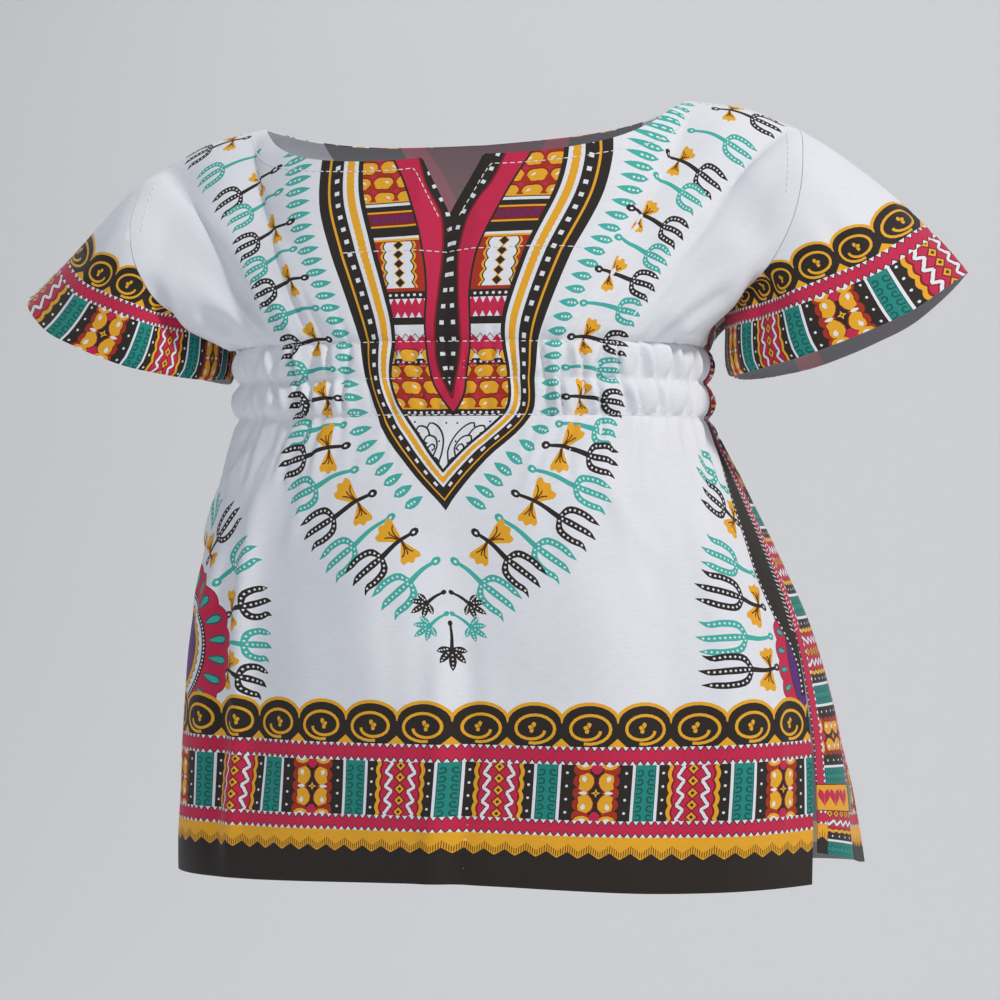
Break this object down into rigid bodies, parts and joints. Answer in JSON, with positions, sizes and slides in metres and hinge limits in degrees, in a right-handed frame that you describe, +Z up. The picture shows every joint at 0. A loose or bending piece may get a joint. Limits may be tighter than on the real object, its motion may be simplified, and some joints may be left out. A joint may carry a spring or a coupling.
{
  "type": "dashiki shirt",
  "caption": "Child's pull-on dashiki shirt in the hollow form it has when worn: wide notched neck, wing sleeves, elastic waist casings and side vents.",
  "frame": {"origin": "midway between the two neck points, on the line where the wearer's shoulders carry the cloth", "axes": "+X to the viewer's right along the sleeve span, -Y out of the front, +Z up"},
  "size_m": [0.428, 0.1788, 0.3464],
  "materials": {
    "printed_cotton": "crisp plain-weave white cotton with a border and neck print, matt with a faint sheen"
  },
  "bodies": {
    "root": {"front": "printed_cotton", "back": "printed_cotton", "sleeve_left": "printed_cotton", "sleeve_right": "printed_cotton"}
  },
  "joints": []
}
